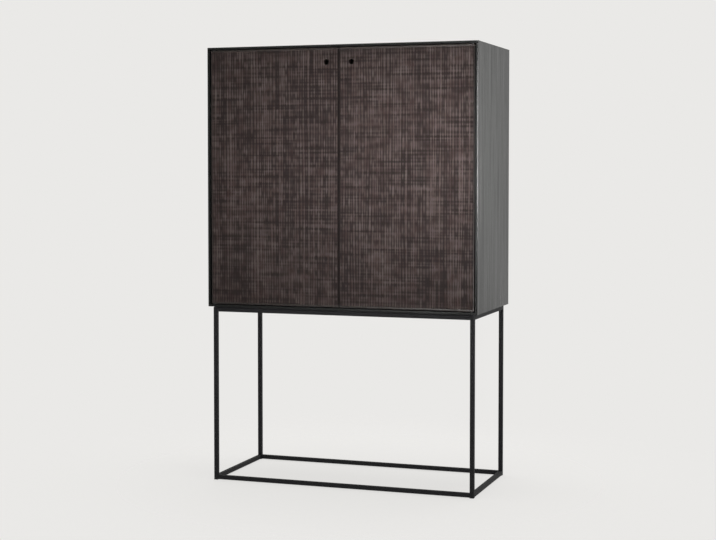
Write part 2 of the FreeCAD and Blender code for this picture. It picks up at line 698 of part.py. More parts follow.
half_hinge, half_knuckle = "hinge_length / 2", "hinge_knuckle_length / 2"
outer_knuckle = f"{half_knuckle} + hinge_knuckle_gap"
cleared_knuckle = "hinge_knuckle_radius + flap_relief"
pin_bore = hinge_rod("hinge_pin_bore", "hinge_pin_radius + running_clearance",
                     f"-{half_hinge} - overrun", f"{half_hinge} + overrun")
flap_y = ("leaf_joint_gap", "leaf_joint_gap + flap_thickness")
fixed_flap = box("fixed_flap", (f"-{half_hinge}", half_hinge), flap_y, ("-flap_width", "0"))
fixed_notch = hinge_rod("fixed_flap_notch", cleared_knuckle, f"-({outer_knuckle})", outer_knuckle)
fixed_knuckle = hinge_rod("fixed_knuckle_right", "hinge_knuckle_radius", outer_knuckle, half_hinge)
fixed_knuckles = [fixed_knuckle, mirror("fixed_knuckle_left", fixed_knuckle, X_AXIS)]
flap_spots = [f"{step} * flap_screw_pitch" for step in HINGE_STEPS]
fixed_spots = [(x, "leaf_joint_gap", "-flap_screw_from_axis") for x in flap_spots]
fixed_screws, fixed_holes = fasten("hinge_fixed_screws", small_screw, fixed_spots, Y_AXIS)
fixed_blank = fuse("fixed_flap_blank", cut("fixed_flap_notched", fixed_flap, fixed_notch), *fixed_knuckles)
fixed_side = cut("hinge_fixed_flap", fixed_blank, pin_bore, fixed_holes)

moving_flap = box("moving_flap", (f"-{half_hinge}", half_hinge), ("-flap_width", "0"), flap_y)
moving_notch = hinge_rod("moving_notch_right", cleared_knuckle, half_knuckle, f"{half_hinge} + overrun")
moving_notches = [moving_notch, mirror("moving_notch_left", moving_notch, X_AXIS)]
moving_knuckle = hinge_rod("moving_knuckle", "hinge_knuckle_radius", f"-{half_knuckle}", half_knuckle)
moving_spots = [(x, "-flap_screw_from_axis", "leaf_joint_gap") for x in flap_spots]
moving_screws, moving_holes = fasten("hinge_moving_screws", small_screw, moving_spots, Z_AXIS)
moving_leaf = cut("moving_flap_notched", moving_flap, *moving_notches)
moving_blank = fuse("moving_flap_blank", moving_leaf, moving_knuckle)
moving_side = cut("hinge_moving_flap", moving_blank, pin_bore, moving_holes)

hinge_pin = hinge_rod("hinge_pin", "hinge_pin_radius", f"-{half_hinge}", half_hinge)
knuckle_room = hinge_rod("knuckle_room", "hinge_knuckle_radius + board_relief",
                         f"-{half_hinge} - board_relief", f"{half_hinge} + board_relief")


def at_hinges(name, source):
    """A hinge piece, drawn about the origin, at each hinge along the leaf's axis."""
    spots = [(f"{step} * hinge_spacing", "leaf_axis", "counter_height") for step in HINGE_STEPS]
    return group(name, *[copy(f"{name}_{number}", source, spot) for number, spot in enumerate(spots)])


# A pin drawn along X keeps that direction inside a group of one, which the copies then move.
piece(at_hinges("leaf_hinge_fixed_flaps", fixed_side))
piece(at_hinges("leaf_hinge_moving_flaps", moving_side))
piece(at_hinges("leaf_hinge_pins", group("hinge_pin_group", hinge_pin)))
piece(at_hinges("leaf_hinge_shelf_screws", fixed_screws))
piece(at_hinges("leaf_hinge_leaf_screws", moving_screws))
shelf_mortises = at_hinges("shelf_mortises", fuse("shelf_mortise", fixed_flap, knuckle_room, fixed_holes))
leaf_mortises = at_hinges("leaf_mortises", fuse("leaf_mortise", moving_flap, knuckle_room, moving_holes))

# Fold-out leaf, stowed upright in front of the rear shelf: it turns down towards the doors.
leaf_half_width = "(inner_half_width - leaf_side_gap)"
leaf_board = box("leaf_board", (f"-{leaf_half_width}", leaf_half_width),
                 ("leaf_axis - leaf_thickness", "leaf_axis"),
                 ("counter_height + leaf_joint_gap", "leaf_top"))
finger_notch = rod("finger_notch", "notch_radius", "leaf_thickness + 2 * overrun",
                   ("0", "leaf_axis - leaf_thickness - overrun", "leaf_top + notch_rise"), Y_AXIS)
disc_height = "stop_top - stop_magnet_from_top"
left_disc = rod("leaf_disc", "stop_disc_radius", "stop_disc_thickness",
                ("-batten_middle", "leaf_axis - stop_disc_thickness", disc_height), Y_AXIS)
left_disc_seat = rod("leaf_disc_seat", "stop_disc_radius + seat_clearance", "stop_disc_thickness + overrun",
                     ("-batten_middle", "leaf_axis - stop_disc_thickness", disc_height), Y_AXIS)
piece(cut("fold_out_leaf", leaf_board, finger_notch, leaf_mortises,
          left_and_right("leaf_disc_seats", left_disc_seat)))
piece(left_and_right("leaf_strike_discs", left_disc))

# Cleats that the opened leaf lies on, and stop battens with magnets that hold it upright.
cleat_y = ("leaf_front + cleat_front_gap", "leaf_axis - cleat_rear_gap")
cleat_blank = box("left_cleat_blank", ("-inner_half_width", "-batten_face"), cleat_y,
                  ("shelf_underside - cleat_height", "shelf_underside"))
cleat_spots = [("-batten_face", f"{cleat_y[0]} + {share} * ({cleat_y[1]} - ({cleat_y[0]}))",
                "shelf_underside - cleat_height / 2") for share in CLEAT_SCREW_SHARES]
stop_blank = box("left_stop_blank", ("-inner_half_width", "-batten_face"),
                 ("stop_front", "stop_front + stop_depth"), ("stop_bottom", "stop_top"))
stop_spots = [("-batten_face", "stop_front + stop_depth / 2",
               f"stop_bottom + {share} * (stop_top - stop_bottom)") for share in STOP_SCREW_SHARES]
left_batten_screws, left_batten_holes = fasten("left_batten_screws", batten_screw,
                                               cleat_spots + stop_spots, -X_AXIS)
magnet_spot = ("-batten_middle", "stop_front", disc_height)
stop_magnet = rod("stop_magnet", "stop_magnet_radius", "stop_magnet_length", magnet_spot, Y_AXIS)
magnet_seat = rod("stop_magnet_seat", "stop_magnet_radius + seat_clearance", "stop_magnet_length",
                  magnet_spot, Y_AXIS)
left_cleat = piece(cut("leaf_cleat_left", cleat_blank, left_batten_holes))
piece(mirror("leaf_cleat_right", left_cleat, X_AXIS))
left_stop = piece(cut("leaf_stop_left", stop_blank, left_batten_holes, magnet_seat))
piece(mirror("leaf_stop_right", left_stop, X_AXIS))
piece(left_and_right("leaf_stop_magnets", stop_magnet))
piece(left_and_right("batten_screws", left_batten_screws))

# Divider of the lower bays, dowelled to the bottom board and to the rear shelf.
divider_front = "leaf_front + divider_setback"
divider_blank = box("divider_blank", ("-divider_thickness / 2", "divider_thickness / 2"),
                    (divider_front, "back_inside"), ("inner_bottom", "shelf_underside"))
dowel_spots = [("0", f"leaf_axis + {share} * rear_shelf_depth",
                "shelf_underside + dowel_in_board - dowel_length") for share in TOP_DOWEL_SHARES]
dowel_spots += [("0", f"{divider_front} + {share} * (back_inside - ({divider_front}))",
                 "inner_bottom - dowel_in_board") for share in BOTTOM_DOWEL_SHARES]
dowel = turned("dowel", ("0", "0"), ("dowel_radius", "0"), ("dowel_radius", "dowel_length"),
               ("0", "dowel_length"))
dowel_bore = turned("dowel_bore", ("0", "0"), ("dowel_radius + seat_clearance", "0"),
                    ("dowel_radius + seat_clearance", "dowel_length"), ("0", "dowel_length"))
piece(group("divider_dowels", *[copy(f"divider_dowel_{number}", dowel, spot)
                                for number, spot in enumerate(dowel_spots)]))
dowel_holes = group("dowel_holes", *[copy(f"dowel_hole_{number}", dowel_bore, spot)
                                     for number, spot in enumerate(dowel_spots)])
piece(cut("centre_divider", divider_blank, dowel_holes))

# Rear shelf, housed in the sides, with the leaf's hinges let into its front edge.
shelf_depth = ("leaf_axis + leaf_joint_gap", "back_inside")
shelf_reach = "(inner_half_width + housing_depth - housing_end_gap)"
shelf_board = box("rear_shelf_board", (f"-{shelf_reach}", shelf_reach), shelf_depth,
                  ("shelf_underside", "counter_height"))
piece(cut("rear_shelf", shelf_board, shelf_mortises, dowel_holes))
shelf_housing = box("shelf_housing", ("-inner_half_width - housing_depth", "overrun - inner_half_width"),
                    shelf_depth, ("shelf_underside", "counter_height"))

# Upper shelf on four pins, with rows of holes that let it be moved up or down.
upper_half_width = "(inner_half_width - upper_shelf_side_gap)"
piece(box("upper_shelf", (f"-{upper_half_width}", upper_half_width),
          ("upper_shelf_front", "upper_shelf_back"), ("upper_shelf_underside", "upper_shelf_height")))
pin_tip = "shelf_pin_depth + shelf_pin_peg"
collar_end = "shelf_pin_depth + shelf_pin_collar_thickness"
pin_profile = turned("shelf_pin", ("0", "0"), ("shelf_pin_radius", "0"),
                     ("shelf_pin_radius", "shelf_pin_depth"), ("shelf_pin_collar_radius", "shelf_pin_depth"),
                     ("shelf_pin_collar_radius", collar_end),
                     ("shelf_pin_radius", collar_end), ("shelf_pin_radius", pin_tip), ("0", pin_tip))
pin_rows = ("upper_shelf_front + shelf_pin_setback", "upper_shelf_back - shelf_pin_setback")
pin_height = "upper_shelf_underside - shelf_pin_radius"
pin_end = "-inner_half_width - shelf_pin_depth"
pin_spots = [(pin_end, row, pin_height) for row in pin_rows]
left_pins = group("left_shelf_pins", *[copy(f"left_shelf_pin_{number}", pin_profile, spot, X_AXIS)
                                       for number, spot in enumerate(pin_spots)])
piece(left_and_right("shelf_pins", left_pins))
pin_bore_radius = "shelf_pin_radius + seat_clearance"
pin_drill = turned("pin_drill", ("0", "-seat_clearance"), (pin_bore_radius, "-seat_clearance"),
                   (pin_bore_radius, "shelf_pin_depth + overrun"), ("0", "shelf_pin_depth + overrun"))
pin_hole_spots = [(pin_end, row, f"{pin_height} + {step} * shelf_pin_pitch")
                  for row in pin_rows for step in SHELF_PIN_STEPS]
pin_holes = group("pin_holes", *[copy(f"pin_hole_{number}", pin_drill, spot, X_AXIS)
                                 for number, spot in enumerate(pin_hole_spots)])


def mitred_board(name, rotation, **formulas):
    """A board whose two ends are cut at 45 degrees; its own Y axis runs through its thickness."""
    board = doc.addObject("Part::Wedge", name)
    board.Placement = Placement(Vector(), rotation)
    bind(board, **formulas)
    return board


# Carcass boards, mitred into a box around everything above.
LEVEL = Rotation(X_AXIS, 90)
UPRIGHT = Rotation(Z_AXIS, 90)
level_depth = {"Zmin": "-half_depth", "Zmax": "half_depth", "Z2min": "-half_depth", "Z2max": "half_depth"}
upright_depth = {"Xmin": "-half_depth", "Xmax": "half_depth", "X2min": "-half_depth", "X2max": "half_depth"}
top_blank = mitred_board("top_board", LEVEL, Ymin="inner_top", Ymax="cabinet_height",
                         Xmin="-inner_half_width", Xmax="inner_half_width",
                         X2min="-half_width", X2max="half_width", **level_depth)
bottom_blank = mitred_board("bottom_board", LEVEL, Ymin="carcass_bottom", Ymax="inner_bottom",
                            Xmin="-half_width", Xmax="half_width",
                            X2min="-inner_half_width", X2max="inner_half_width", **level_depth)
left_blank = mitred_board("left_board", UPRIGHT, Ymin="inner_half_width", Ymax="half_width",
                          Zmin="inner_bottom", Zmax="inner_top",
                          Z2min="carcass_bottom", Z2max="cabinet_height", **upright_depth)
piece(cut("top_panel", top_blank, front_bevel, door_rebate, back_rebate, spline_slots, back_holes,
          pivot_holes, catch_holes))
piece(cut("bottom_panel", bottom_blank, front_bevel, door_rebate, back_rebate, spline_slots, back_holes,
          pivot_holes, spacer_holes, dowel_holes))
left_side = piece(cut("left_side_panel", left_blank, front_bevel, door_rebate, back_rebate, spline_slots,
                      back_holes, shelf_housing, pin_holes, left_batten_holes))
piece(mirror("right_side_panel", left_side, X_AXIS))

doc.recompute()
for thing in doc.Objects:
    if "Invalid" in thing.State or "Error" in thing.State:
        raise RuntimeError(f"{thing.Name} failed: {thing.State}")
for thing in pieces:
    if thing.Shape.isNull() or not thing.Shape.isValid() or not thing.Shape.Solids:
        raise RuntimeError(f"{thing.Label} has no valid solid")

os.makedirs("parts", exist_ok=True)
for thing in pieces:
    solids = thing.Shape.Solids
    shape = solids[0] if len(solids) == 1 else Part.makeCompound(solids)
    shape.exportStep(f"parts/{thing.Label}.step")
    print(f"{thing.Label}: {len(solids)} solids, {shape.Volume:.0f} mm3")
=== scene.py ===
import bmesh
import bpy
import json
import math
from mathutils import Matrix, Vector, noise


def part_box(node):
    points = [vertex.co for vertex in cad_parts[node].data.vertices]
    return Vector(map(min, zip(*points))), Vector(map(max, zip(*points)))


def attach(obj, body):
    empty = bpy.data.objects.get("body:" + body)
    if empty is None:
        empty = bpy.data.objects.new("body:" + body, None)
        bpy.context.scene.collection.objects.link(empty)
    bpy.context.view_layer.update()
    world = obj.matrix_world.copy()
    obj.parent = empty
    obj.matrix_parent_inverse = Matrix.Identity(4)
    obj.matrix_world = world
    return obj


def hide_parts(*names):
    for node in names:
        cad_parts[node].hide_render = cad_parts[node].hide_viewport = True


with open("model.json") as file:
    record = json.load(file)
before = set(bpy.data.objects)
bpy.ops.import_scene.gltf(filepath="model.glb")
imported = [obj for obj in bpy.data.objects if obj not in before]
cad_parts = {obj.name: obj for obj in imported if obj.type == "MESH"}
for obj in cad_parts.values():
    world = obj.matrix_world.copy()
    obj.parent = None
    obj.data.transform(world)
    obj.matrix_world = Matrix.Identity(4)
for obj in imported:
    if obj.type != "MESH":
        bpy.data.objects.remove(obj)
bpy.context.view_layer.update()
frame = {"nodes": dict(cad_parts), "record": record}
scene = bpy.context.scene
scene.view_settings.view_transform = "Standard"


# Camera. A view camera to the right of the cabinet, a little higher than its fold-out leaf and tipped down
# a little, with the frame shifted down from the lens's axis so that the uprights look nearly parallel.
# Lengths in the picture are in pixels, the place is in metres and the angles are in radians.
IMAGE_WIDTH, IMAGE_HEIGHT = 716, 540
FOCAL_LENGTH = 1503.7
LENS_AXIS_ROW = 230
SENSOR_WIDTH = 36
CAMERA_PLACE = (1.7874, -5.1571, 1.1309)
TIP_DOWN, TURN_LEFT = 0.0414, 0.3347

lens = bpy.data.cameras.new("camera")
lens.sensor_width = SENSOR_WIDTH
lens.lens = FOCAL_LENGTH / IMAGE_WIDTH * SENSOR_WIDTH
lens.shift_y = (LENS_AXIS_ROW - IMAGE_HEIGHT / 2) / IMAGE_WIDTH
camera = bpy.data.objects.new("camera", lens)
camera.location = CAMERA_PLACE
camera.rotation_euler = (math.pi / 2 - TIP_DOWN, 0, TURN_LEFT)
scene.collection.objects.link(camera)
scene.camera = camera


# Stand. Twelve lengths of square steel tube, welded into an open box with the welds ground flush,
# then powder coated black in one go; flat bars of the same finish keep the carcass off the top rails.
# The sizes of this and every other finish's pattern are in millimetres.
COAT_MOTTLE = 45
COAT_PEEL, COAT_PEEL_DEPTH = 2.5, 0.04

# The places of a Mix node's two colours and of the colour that it gives, among its sockets for other values.
FIRST_COLOUR, SECOND_COLOUR, MIXED_COLOUR = 6, 7, 2


def linear(srgb):
    """Turns an sRGB hex colour into the linear colour that a socket takes."""
    parts = [int(srgb[i:i + 2], 16) / 255 for i in (1, 3, 5)]
    return [p / 12.92 if p <= 0.04045 else ((p + 0.055) / 1.055) ** 2.4 for p in parts] + [1]


def per_metre(millimetres):
    """How many of a pattern's features, each so many millimetres wide, fit in a metre."""
    return 1000 / millimetres


def add_node(tree, kind, sockets, **settings):
    """Adds a node with its settings, and links or sets its sockets, each by name or number."""
    made = tree.nodes.new(kind)
    for name, value in settings.items():
        setattr(made, name, value)
    for socket, value in sockets.items():
        if isinstance(value, bpy.types.NodeSocket):
            tree.links.new(value, made.inputs[socket])
        else:
            made.inputs[socket].default_value = value
    return made


def new_material(name):
    """A material with its node tree, its shader and the Object coordinates that its patterns read."""
    material = bpy.data.materials.new(name)
    material.use_nodes = True
    tree = material.node_tree
    place = add_node(tree, "ShaderNodeTexCoord", {}).outputs["Object"]
    return material, tree, tree.nodes["Principled BSDF"], place


def dress(material, *nodes):
    """Gives the CAD nodes named their finish."""
    for node in nodes:
        slots = frame["nodes"][node].data.materials
        slots.clear()
        slots.append(material)


# Black powder coat on steel: a dry, even black that the eye reads by its soft wide highlight and by the
# orange peel in it, which is drawn coarser than the real 1 mm so that it shows.
powder_coat, tree, shader, place = new_material("black powder coat")
mottle = add_node(tree, "ShaderNodeTexNoise", {"Vector": place, "Scale": per_metre(COAT_MOTTLE), "Detail": 3})
tint = add_node(tree, "ShaderNodeMix", {
    "Factor": mottle.outputs[0], FIRST_COLOUR: linear("#0b0b0d"), SECOND_COLOUR: linear("#131315")},
    data_type="RGBA")
peel = add_node(tree, "ShaderNodeTexNoise", {"Vector": place, "Scale": per_metre(COAT_PEEL), "Detail": 1})
sheen = add_node(tree, "ShaderNodeMapRange", {"Value": peel.outputs[0], "To Min": 0.66, "To Max": 0.8})
relief = add_node(tree, "ShaderNodeBump", {
    "Height": peel.outputs[0], "Distance": COAT_PEEL_DEPTH / 1000, "Strength": 0.8})
tree.links.new(tint.outputs[MIXED_COLOUR], shader.inputs["Base Color"])
tree.links.new(sheen.outputs[0], shader.inputs["Roughness"])
tree.links.new(relief.outputs[0], shader.inputs["Normal"])
shader.inputs["Specular IOR Level"].default_value = 0.24

dress(powder_coat, "base_leg_front_left", "base_leg_front_right", "base_leg_back_left", "base_leg_back_right",
      "base_top_rail_front", "base_top_rail_back", "base_top_rail_left", "base_top_rail_right",
      "base_bottom_rail_front", "base_bottom_rail_back", "base_bottom_rail_left", "base_bottom_rail_right",
      "spacer_plates")


# Plugs, glides and catch housings. Black polyethylene, moulded: caps tapped into the open ends of the legs,
# those below to stand on without scratching the floor, and the cases that hold the doors' magnets.
MOULD_GRAIN, MOULD_GRAIN_DEPTH = 1.6, 0.03


def clouded_finish(name, cloud, detail, tints, roughness, metallic=0, depth=0):
    """A finish whose tint, roughness and relief drift together; cloud and depth are their millimetres."""
    material, tree, shader, place = new_material(name)
    drift = add_node(tree, "ShaderNodeTexNoise", {
        "Vector": place, "Scale": per_metre(cloud), "Detail": detail})
    tint = add_node(tree, "ShaderNodeMix", {
        "Factor": drift.outputs[0], FIRST_COLOUR: linear(tints[0]), SECOND_COLOUR: linear(tints[1])},
        data_type="RGBA")
    sheen = add_node(tree, "ShaderNodeMapRange", {
        "Value": drift.outputs[0], "To Min": roughness[0], "To Max": roughness[1]})
    tree.links.new(tint.outputs[MIXED_COLOUR], shader.inputs["Base Color"])
    tree.links.new(sheen.outputs[0], shader.inputs["Roughness"])
    shader.inputs["Metallic"].default_value = metallic
    if depth:
        relief = add_node(tree, "ShaderNodeBump", {
            "Height": drift.outputs[0], "Distance": depth / 1000, "Strength": 0.7})
        tree.links.new(relief.outputs[0], shader.inputs["Normal"])
    return material


# Moulded polyethylene: waxy dark grey, a little lighter than the steel, with the grain of a spark-eroded
# mould, which is drawn coarser than the real 0.1 mm so that it shows.
polyethylene = clouded_finish("moulded black polyethylene", cloud=MOULD_GRAIN, detail=2,
                              tints=("#18181a", "#262628"), roughness=(0.48, 0.62), depth=MOULD_GRAIN_DEPTH)
dress(polyethylene, "leg_top_plugs", "floor_glides", "catch_housings")


# Carcass. Four boards mitred at the corners over beech splines, veneered outside, their front edges
# thinned to a lip round the doors and eased by a chamfer; stained black and lacquered.
FIGURE_WIDTH, FIGURE_LENGTH = 14, 420
PORE_WIDTH, PORE_LENGTH, PORE_DEPTH = 1.3, 26, 0.2
FIGURE_LOW, FIGURE_HIGH = 0.3, 0.7
SHEEN_VARIES = 0.08


def stained_wood(name, run, dark, light, pore, dry, gloss):
    """Stained wood with its grain along axis number run; dry is its lacquer's roughness, gloss its level."""
    material, tree, shader, place = new_material(name)
    figure_scale, pore_scale = [per_metre(FIGURE_WIDTH)] * 3, [per_metre(PORE_WIDTH)] * 3
    figure_scale[run], pore_scale[run] = per_metre(FIGURE_LENGTH), per_metre(PORE_LENGTH)
    along = add_node(tree, "ShaderNodeMapping", {"Vector": place, "Scale": figure_scale})
    figure = add_node(tree, "ShaderNodeTexNoise", {
        "Vector": along.outputs[0], "Scale": 1, "Detail": 5, "Roughness": 0.62, "Distortion": 0.5})
    drawn = add_node(tree, "ShaderNodeMapRange", {
        "Value": figure.outputs[0], "From Min": FIGURE_LOW, "From Max": FIGURE_HIGH})
    board = add_node(tree, "ShaderNodeMix", {
        "Factor": drawn.outputs[0], FIRST_COLOUR: linear(dark), SECOND_COLOUR: linear(light)},
        data_type="RGBA")
    fine = add_node(tree, "ShaderNodeMapping", {"Vector": place, "Scale": pore_scale})
    pores = add_node(tree, "ShaderNodeTexNoise", {"Vector": fine.outputs[0], "Scale": 1, "Detail": 2})
    open_pores = add_node(tree, "ShaderNodeMapRange", {
        "Value": pores.outputs[0], "From Min": 0.56, "From Max": 0.7, "To Max": 0.75})
    stain = add_node(tree, "ShaderNodeMix", {
        "Factor": open_pores.outputs[0], FIRST_COLOUR: board.outputs[MIXED_COLOUR],
        SECOND_COLOUR: linear(pore)}, data_type="RGBA")
    sheen = add_node(tree, "ShaderNodeMapRange", {
        "Value": figure.outputs[0], "From Min": FIGURE_LOW, "From Max": FIGURE_HIGH,
        "To Min": dry + SHEEN_VARIES, "To Max": dry - SHEEN_VARIES})
    relief = add_node(tree, "ShaderNodeBump", {
        "Height": open_pores.outputs[0], "Distance": PORE_DEPTH / 1000, "Strength": 0.6}, invert=True)
    tree.links.new(stain.outputs[MIXED_COLOUR], shader.inputs["Base Color"])
    tree.links.new(sheen.outputs[0], shader.inputs["Roughness"])
    tree.links.new(relief.outputs[0], shader.inputs["Normal"])
    shader.inputs["Specular IOR Level"].default_value = gloss
    return material


# Black-stained oak veneer: black, and a little greyer along the figure where the stain has taken less; the
# figure is upright on the sides and lengthways on the top and bottom, and the satin lacquer turns grey where
# light skims over it. The pores are drawn coarser than the real 0.3 mm so that they show.
CARCASS_COLOURS = {"dark": "#0f100f", "light": "#1a1b1a", "pore": "#090909", "dry": 0.34, "gloss": 0.1}
sides_oak = stained_wood("black-stained oak, upright", 2, **CARCASS_COLOURS)
level_oak = stained_wood("black-stained oak, lengthways", 0, **CARCASS_COLOURS)
dress(sides_oak, "left_side_panel", "right_side_panel")
dress(level_oak, "top_panel", "bottom_panel")

# Bare beech, planed: pale pink-straw with short fine flecks, seen only where a joint is taken apart.
beech = stained_wood("bare beech", 1, "#b98f63", "#cfa97c", "#a67a4e", dry=0.6, gloss=0.3)
dress(beech, "mitre_splines", "divider_dowels")


# Back panel. One board of plywood, let into the rear of the carcass and held
# by screws through its edge and into the rear shelf.
# Plywood under black stain, without lacquer: a flat charcoal with upright figure, duller than the sides.
back_board = stained_wood("black-stained plywood", 2, "#262422", "#34312e", "#181716", dry=0.62, gloss=0.3)
dress(back_board, "back_panel")


# Screws and steel fittings. Steel, cut, stamped or headed from wire, and zinc plated: the screws, the strikes
# that the catches and the stops pull, and the pins that carry the upper shelf.
ROLLING_WIDTH, ROLLING_LENGTH = 0.7, 14
ZINC_CLOUD = 9

# Bright zinc on steel: cool grey with a faint cloud of blue and straw, drawn by lines of rolling, which are
# coarser than the real 0.1 mm so that they show.
zinc, tree, shader, place = new_material("zinc-plated steel")
rolled = add_node(tree, "ShaderNodeMapping", {
    "Vector": place,
    "Scale": [per_metre(ROLLING_LENGTH), per_metre(ROLLING_WIDTH), per_metre(ROLLING_WIDTH)]})
lines = add_node(tree, "ShaderNodeTexNoise", {"Vector": rolled.outputs[0], "Scale": 1, "Detail": 2})
cloud = add_node(tree, "ShaderNodeTexNoise", {"Vector": place, "Scale": per_metre(ZINC_CLOUD), "Detail": 2})
tint = add_node(tree, "ShaderNodeMix", {
    "Factor": cloud.outputs[0], FIRST_COLOUR: linear("#b3b6bd"), SECOND_COLOUR: linear("#c4c0b2")},
    data_type="RGBA")
sheen = add_node(tree, "ShaderNodeMapRange", {"Value": lines.outputs[0], "To Min": 0.26, "To Max": 0.42})
tree.links.new(tint.outputs[MIXED_COLOUR], shader.inputs["Base Color"])
tree.links.new(sheen.outputs[0], shader.inputs["Roughness"])
shader.inputs["Metallic"].default_value = 1

dress(zinc, "spacer_screws", "back_panel_screws", "pivot_bracket_screws", "catch_screws",
      "left_door_strike_plate", "right_door_strike_plate", "left_door_strike_screws",
      "right_door_strike_screws", "shelf_pins", "leaf_strike_discs", "batten_screws",
      "leaf_hinge_shelf_screws", "leaf_hinge_leaf_screws")


# Pivots. Stamped steel brackets, screwed to the top and bottom boards, and the turned pins that the doors
# swing on; black, so that they don't show in the gaps round the doors.
# Black zinc on steel: a dim, slightly patchy black with a soft metal gleam.
black_zinc = clouded_finish("black zinc on steel", cloud=6, detail=3, tints=("#1c1c1e", "#2c2b2a"),
                            roughness=(0.42, 0.58), metallic=0.6)
dress(black_zinc, "pivot_brackets", "pivot_pins")


# Thrust washers. Black nylon, turned from rod, one on each pin between the bracket and the door's bush,
# so that the door's weight turns on plastic and not on metal.
# Turned nylon: black with a satin, slightly uneven face.
nylon = clouded_finish("turned black nylon", cloud=2, detail=2, tints=("#161617", "#232324"),
                       roughness=(0.42, 0.55))
dress(nylon, "pivot_washers")


# Magnets. Pressed and sintered, then nickel plated: those in the catches at the doors' heads,
# and those let into the stops behind the leaf.
# Nickel plate: warm light grey, bright, with faint clouds where the plating is thinner.
nickel = clouded_finish("nickel-plated magnet", cloud=3, detail=3, tints=("#8f8d8a", "#aaa7a2"),
                        roughness=(0.2, 0.36), metallic=1)
dress(nickel, "catch_magnets", "leaf_stop_magnets")


# Brass fittings. Bushes, turned and pressed into the doors' ends, and the butt hinges of the fold-out leaf,
# with flaps stamped and rolled from sheet round their pins.
BRASS_BLOOM = 7
BLOOM_LOW, BLOOM_HIGH = 0.35, 0.7

# Brass aged in the air: straw gold, bright where it is handled, going brown and dull in blooms.
brass, tree, shader, place = new_material("aged brass")
bloom = add_node(tree, "ShaderNodeTexNoise", {
    "Vector": place, "Scale": per_metre(BRASS_BLOOM), "Detail": 4, "Roughness": 0.6})
tarnish = add_node(tree, "ShaderNodeMapRange", {
    "Value": bloom.outputs[0], "From Min": BLOOM_LOW, "From Max": BLOOM_HIGH})
tint = add_node(tree, "ShaderNodeMix", {
    "Factor": tarnish.outputs[0], FIRST_COLOUR: linear("#c39a4e"), SECOND_COLOUR: linear("#7d5f2f")},
    data_type="RGBA")
sheen = add_node(tree, "ShaderNodeMapRange", {
    "Value": bloom.outputs[0], "From Min": BLOOM_LOW, "From Max": BLOOM_HIGH, "To Min": 0.28, "To Max": 0.5})
tree.links.new(tint.outputs[MIXED_COLOUR], shader.inputs["Base Color"])
tree.links.new(sheen.outputs[0], shader.inputs["Roughness"])
shader.inputs["Metallic"].default_value = 1

dress(brass, "left_door_pivot_bushes", "right_door_pivot_bushes", "leaf_hinge_fixed_flaps",
      "leaf_hinge_moving_flaps", "leaf_hinge_pins")


# Inside boards. The divider, the rear shelf, the upper shelf, and the fold-out leaf with its cleats and
# stops: planed oak boards, screwed, dowelled, hinged or laid on pins between the sides.
# Brown-stained oak: warm and dark with a clear figure along each board, under a satin lacquer.
INSIDE_COLOURS = {"dark": "#443428", "light": "#5f4a3a", "pore": "#2a1f18", "dry": 0.42, "gloss": 0.4}
level_boards = stained_wood("brown-stained oak, lengthways", 0, **INSIDE_COLOURS)
upright_boards = stained_wood("brown-stained oak, upright", 2, **INSIDE_COLOURS)
deep_boards = stained_wood("brown-stained oak, front to back", 1, **INSIDE_COLOURS)
dress(level_boards, "rear_shelf", "upper_shelf", "fold_out_leaf")
dress(upright_boards, "centre_divider", "leaf_stop_left", "leaf_stop_right")
dress(deep_boards, "leaf_cleat_left", "leaf_cleat_right")


# Doors. Slabs of open-grained oak, gouged all over the front in short upright strokes crossed by level ones,
# stained dark and rubbed back. The hinge edge is rounded to turn on its pivots, whose bushes sit in the ends,
# and a finger hole is bored near the head. Lengths are in metres.
HINGE_FRONT_ROUNDING, HINGE_BACK_ROUNDING, ROUNDING_STEPS = 0.004, 0.003, 5
ARRIS, ARRIS_STEPS = 0.0004, 2
FINGER_HOLE_EASING = 0.0008
BUSH_FLANGE, BUSH_BARREL, BUSH_LENGTH = 0.00155, 0.0051, 0.016
SEAT_CLEARANCE = 0.0001
TURNED_STEPS = 40
UPRIGHT_WIDTH, UPRIGHT_LENGTH, UPRIGHT_DEPTH = 0.0094, 0.16, 0.0011
LEVEL_WIDTH, LEVEL_LENGTH, LEVEL_DEPTH = 0.0125, 0.18, 0.0006
CHATTER_LENGTH = 0.025
END_MARGIN, HINGE_MARGIN, RUN_OUT = 0.008, 0.007, 0.002
# How wide a strip along each door's meeting edge is painted near black: painted shade of the gap between the
# doors.
MEETING_GAP_SHADE = 0.0025

# How far the strokes stray from their lines, in widths of a stroke, and over what lengths across and up.
UPRIGHT_STRAY, UPRIGHT_STRAY_ACROSS, UPRIGHT_STRAY_UP = 0.7, 0.035, 0.5
LEVEL_STRAY, LEVEL_STRAY_ACROSS, LEVEL_STRAY_UP = 0.6, 2.5, 0.03

# How high a ridge is left between upright strokes, how much that varies from ridge to ridge, along each and
# with the tool's chatter, and the power that shapes it; then how deep level strokes go, and how that varies.
RIDGE, RIDGE_BY_STROKE, RIDGE_ALONG, RIDGE_CHATTER, RIDGE_POWER = 0.7, 0.6, 0.35, 0.7, 1.5
LEVEL, LEVEL_VARIES = 0.35, 1.2

# The lengths across and up over which the hand bears harder or lighter on level and on upright strokes, and
# what the upright cut, the level cut and that bearing add to the tone of the stain.
LEVEL_BEARING_ACROSS, LEVEL_BEARING_UP = 0.1, 0.013
UPRIGHT_BEARING_ACROSS, UPRIGHT_BEARING_UP = 0.022, 0.3
UPRIGHT_TONE, LEVEL_TONE, BEARING_TONE = 0.62, 0.36, 0.2

# How far apart in the noise, and how far off its lattice, neighbouring strokes are read, so that they differ.
APART, OFF_LATTICE = 1.7, 0.3

# How finely the front is cut up for the carving, and how edges and faces are told apart.
CUTS_ACROSS, CUTS_UP = 300, 284
TOUCHING, LONG_EDGE, FACING = 1e-6, 0.1, 0.95
SHARP_EDGE, SOFT_EDGE = math.radians(60), math.radians(40)
PLAIN, CARVED, SEALED_AND_SHADED = 0, 1, 2


